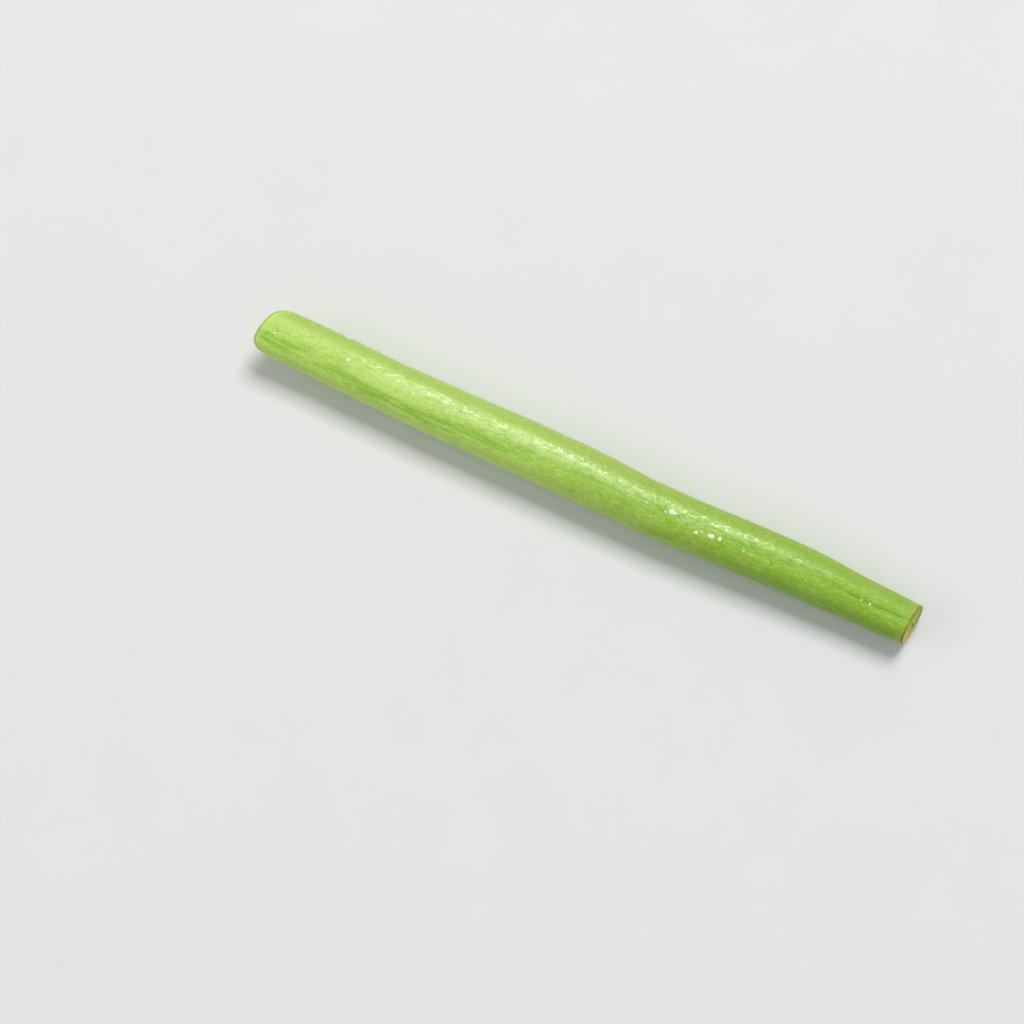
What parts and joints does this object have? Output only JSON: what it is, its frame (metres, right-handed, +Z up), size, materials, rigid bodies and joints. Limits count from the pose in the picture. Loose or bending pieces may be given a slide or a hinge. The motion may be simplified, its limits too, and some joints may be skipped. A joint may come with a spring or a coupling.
{
  "type": "green bean",
  "caption": "Fresh green bean pod, trimmed at both ends, nearly straight, lying on a slightly flattened belly.",
  "frame": {"origin": "middle of the pod's outline seen from above, on the surface that its belly rests on", "axes": "+X along the pod towards its thin end, +Y across it, +Z up, away from the resting surface"},
  "size_m": [0.1444, 0.012, 0.0102],
  "materials": {
    "pod_skin": "satin"
  },
  "bodies": {
    "root": {"bean_pod": "pod_skin"}
  },
  "joints": []
}
